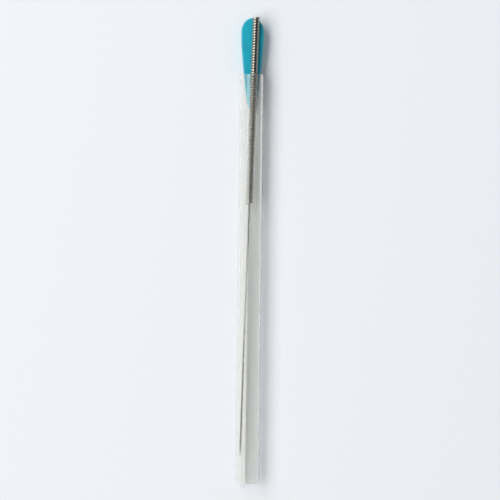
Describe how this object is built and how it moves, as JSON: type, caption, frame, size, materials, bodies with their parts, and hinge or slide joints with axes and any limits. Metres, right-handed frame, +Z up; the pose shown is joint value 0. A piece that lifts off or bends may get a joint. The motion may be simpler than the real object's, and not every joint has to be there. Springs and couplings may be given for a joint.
{
  "type": "acupuncture needle",
  "caption": "Thin steel needle with a wound wire handle, lying in a clear guide tube and held by a teal lock wedge in the tube's mouth.",
  "frame": {"origin": "on the surface that the part lies on, under the middle of its overall box", "axes": "+Y along the guide tube from its foot to its mouth and the needle's handle, +Z up from the surface, +X to the right"},
  "size_m": [0.0038, 0.0742, 0.0038],
  "materials": {
    "drawn_steel": "drawn and ground bright",
    "wound_steel": "drawn wire, satin",
    "clear_plastic": "clear extruded plastic",
    "teal_plastic": "moulded teal plastic, soft gloss"
  },
  "bodies": {
    "tube": {"guide_tube": "clear_plastic"},
    "needle": {"needle_shaft": "drawn_steel", "handle_winding": "wound_steel"},
    "wedge": {"lock_wedge": "teal_plastic"}
  },
  "joints": [
    {"name": "needle_slide", "type": "slide", "parent": "tube", "child": "needle", "axis": [-0.0252, -0.9995, -0.0176], "range_m": [-0.062, 0.0092]},
    {"name": "wedge_slide", "type": "slide", "parent": "tube", "child": "wedge", "axis": [0, 1, 0], "range_m": [0, 0.016]}
  ]
}
